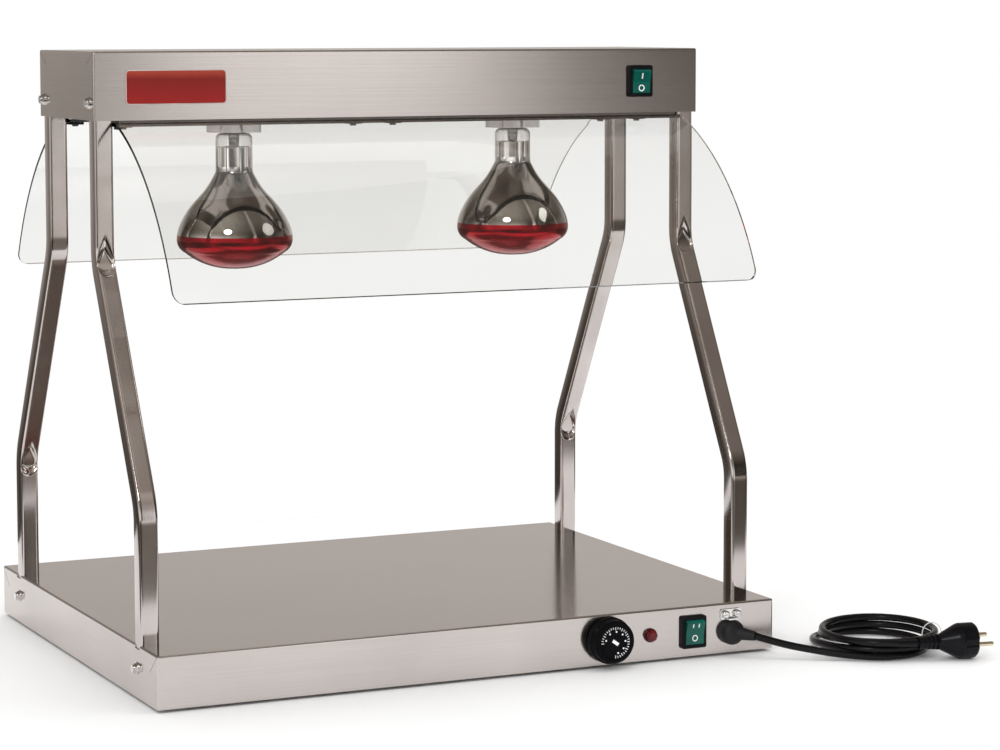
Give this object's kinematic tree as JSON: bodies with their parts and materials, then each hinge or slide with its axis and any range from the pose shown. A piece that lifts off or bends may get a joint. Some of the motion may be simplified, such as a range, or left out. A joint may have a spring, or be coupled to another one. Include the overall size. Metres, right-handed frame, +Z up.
{
  "type": "heat lamp warmer",
  "caption": "Countertop food warmer: a heated flat base and, on bent tube legs, a hood with infrared lamps between curved glass guards.",
  "frame": {"origin": "on the standing plane under the middle of the base; the cover of the base is 3 mm above it on four feet", "axes": "+X to the right along the base, +Y to the back, +Z up"},
  "size_m": [0.9039, 0.6912, 0.65],
  "materials": {
    "brushed_stainless": "satin brushed",
    "cover_steel": "mill",
    "tube_stainless": "polished",
    "bright_fasteners": "bright",
    "black_rubber": "matt",
    "cord_black": "satin",
    "plug_black": "satin",
    "plated_contacts": "nickel plated",
    "element_sheath": "oxidised",
    "mineral_wool": "matt",
    "thermostat_plastic": "matt",
    "copper_bulb": "satin",
    "knob_black": "gloss",
    "pilot_bezel": "gloss",
    "pilot_red": "translucent gloss",
    "switch_black": "gloss",
    "rocker_green": "translucent gloss",
    "badge_red": "gloss",
    "lamp_red_glass": "gloss",
    "lamp_silvered": "mirror",
    "lamp_cap_metal": "satin",
    "filament_wire": "satin",
    "porcelain": "glazed",
    "socket_brass": "satin",
    "bracket_zinc": "satin",
    "clear_glass": "clear",
    "rail_grey": "satin"
  },
  "bodies": {
    "warmer": {"badge_plate": "badge_red", "base_bottom_cover": "cover_steel", "base_shell": "brushed_stainless", "base_switch_housing": "switch_black", "cord_clamp": "bright_fasteners", "cord_clamp_screws": "bright_fasteners", "cord_coil": "cord_black", "cord_gland": "black_rubber", "cover_screws": "bright_fasteners", "cover_standoffs": "bright_fasteners", "element_clamps": "cover_steel", "element_tray": "cover_steel", "front_glass_clips": "black_rubber", "front_glass_guard": "clear_glass", "front_glass_rail": "rail_grey", "gland_nut": "bright_fasteners", "glass_clip_screws": "rail_grey", "heating_element": "element_sheath", "hood_bottom_plate": "brushed_stainless", "hood_cable": "cord_black", "hood_shell": "brushed_stainless", "hood_switch_housing": "switch_black", "insulation_blanket": "mineral_wool", "lamp_bracket_left": "bracket_zinc", "lamp_bracket_right": "bracket_zinc", "lamp_left_cap": "lamp_cap_metal", "lamp_left_filament": "filament_wire", "lamp_left_front": "lamp_red_glass", "lamp_left_reflector": "lamp_silvered", "lamp_right_cap": "lamp_cap_metal", "lamp_right_filament": "filament_wire", "lamp_right_front": "lamp_red_glass", "lamp_right_reflector": "lamp_silvered", "lampholder_left": "porcelain", "lampholder_right": "porcelain", "lampholder_shells": "socket_brass", "leg_front_left": "tube_stainless", "leg_front_right": "tube_stainless", "leg_rear_left": "tube_stainless", "leg_rear_right": "tube_stainless", "leg_rivet_nuts": "bright_fasteners", "leg_screw_washers": "bright_fasteners", "leg_screws": "bright_fasteners", "pilot_lamp_body": "pilot_bezel", "pilot_lamp_lens": "pilot_red", "plug_body": "plug_black", "plug_pins": "plated_contacts", "power_cord": "cord_black", "rear_glass_clips": "black_rubber", "rear_glass_guard": "clear_glass", "rear_glass_rail": "rail_grey", "rubber_feet": "black_rubber", "switch_terminals": "plated_contacts", "terminal_block": "thermostat_plastic", "thermostat_body": "thermostat_plastic", "thermostat_bulb": "copper_bulb"},
    "thermostat_knob": {"thermostat_knob": "knob_black", "thermostat_shaft": "bright_fasteners"},
    "base_switch_rocker": {"base_switch_rocker": "rocker_green"},
    "hood_switch_rocker": {"hood_switch_rocker": "rocker_green"}
  },
  "joints": [
    {"name": "thermostat_turn", "type": "hinge", "parent": "warmer", "child": "thermostat_knob", "pos_m": [0.1485, -0.275, 0.03], "axis": [0, 1, 0], "range_deg": [0, 270]},
    {"name": "base_switch_rock", "type": "hinge", "parent": "warmer", "child": "base_switch_rocker", "pos_m": [0.251, -0.275, 0.0295], "axis": [-1, 0, 0], "range_deg": [0, 20]},
    {"name": "hood_switch_rock", "type": "hinge", "parent": "warmer", "child": "hood_switch_rocker", "pos_m": [0.279, -0.095, 0.614], "axis": [-1, 0, 0], "range_deg": [0, 20]}
  ]
}
